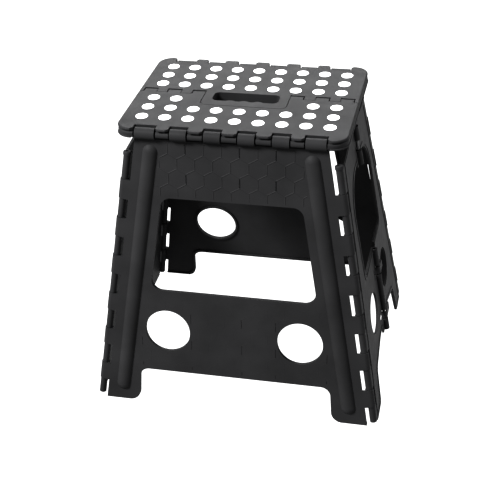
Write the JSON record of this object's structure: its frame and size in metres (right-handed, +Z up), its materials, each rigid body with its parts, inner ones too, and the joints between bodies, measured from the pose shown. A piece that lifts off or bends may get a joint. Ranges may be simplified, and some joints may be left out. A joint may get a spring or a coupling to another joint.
{
  "type": "folding step stool",
  "caption": "Folding step stool with a dotted two-part top, a carrying handle with a hand slot, slanted leg panels with a window, and side panels that fold inwards.",
  "frame": {"origin": "middle of the footprint, on the floor", "axes": "+Z up, +X to the right of a person who faces the front leg panel, +Y to the rear"},
  "size_m": [0.3844, 0.3114, 0.3904],
  "materials": {
    "black_plastic": "moulded matte black",
    "pin_steel": "blackened drawn wire",
    "white_grip": "soft white grip"
  },
  "bodies": {
    "front_leg": {"front_leg_panel": "black_plastic", "front_edge_pin": "pin_steel", "right_front_corner_pin": "pin_steel", "left_front_corner_pin": "pin_steel"},
    "front_top": {"top_front_half": "black_plastic", "front_grip_dots": "white_grip", "right_fold_pin": "pin_steel", "left_fold_pin": "pin_steel"},
    "rear_top": {"top_rear_half": "black_plastic", "rear_grip_dots": "white_grip"},
    "rear_leg": {"rear_leg_panel": "black_plastic", "rear_edge_pin": "pin_steel", "right_rear_corner_pin": "pin_steel", "left_rear_corner_pin": "pin_steel"},
    "right_front_side": {"right_front_side": "black_plastic", "right_side_pins": "pin_steel"},
    "left_front_side": {"left_front_side": "black_plastic", "left_side_pins": "pin_steel"},
    "right_rear_side": {"right_rear_side": "black_plastic"},
    "left_rear_side": {"left_rear_side": "black_plastic"}
  },
  "joints": [
    {"name": "front_edge_hinge", "type": "hinge", "parent": "front_leg", "child": "front_top", "pos_m": [0, -0.1, 0.381], "axis": [1, 0, 0], "range_deg": [0, 81.67]},
    {"name": "top_fold", "type": "hinge", "parent": "front_top", "child": "rear_top", "pos_m": [0, 0, 0.3682], "axis": [-1, 0, 0], "range_deg": [0, 180]},
    {"name": "rear_edge_hinge", "type": "hinge", "parent": "rear_top", "child": "rear_leg", "pos_m": [0, 0.1, 0.381], "axis": [1, 0, 0], "range_deg": [0, 81.67]},
    {"name": "right_front_corner_hinge", "type": "hinge", "parent": "front_leg", "child": "right_front_side", "pos_m": [0.1871, -0.14887, 0.00051], "axis": [-0.1549, 0.1431, 0.9775], "range_deg": [0, 91.3]},
    {"name": "left_front_corner_hinge", "type": "hinge", "parent": "front_leg", "child": "left_front_side", "pos_m": [-0.1871, -0.14887, 0.00051], "axis": [-0.1549, -0.1431, -0.9775], "range_deg": [0, 91.3]},
    {"name": "right_rear_corner_hinge", "type": "hinge", "parent": "rear_leg", "child": "right_rear_side", "pos_m": [0.1871, 0.14887, 0.00051], "axis": [0.1549, 0.1431, -0.9775], "range_deg": [0, 91.3]},
    {"name": "left_rear_corner_hinge", "type": "hinge", "parent": "rear_leg", "child": "left_rear_side", "pos_m": [-0.1871, 0.14887, 0.00051], "axis": [0.1549, -0.1431, 0.9775], "range_deg": [0, 91.3]}
  ],
  "couplings": [
    {"joint": "front_edge_hinge", "follows": "top_fold", "ratio": 0.45372},
    {"joint": "rear_edge_hinge", "follows": "top_fold", "ratio": 0.45372},
    {"joint": "right_front_corner_hinge", "follows": "top_fold", "ratio": 0.50722},
    {"joint": "left_front_corner_hinge", "follows": "top_fold", "ratio": 0.50722},
    {"joint": "right_rear_corner_hinge", "follows": "top_fold", "ratio": 0.50722},
    {"joint": "left_rear_corner_hinge", "follows": "top_fold", "ratio": 0.50722}
  ]
}
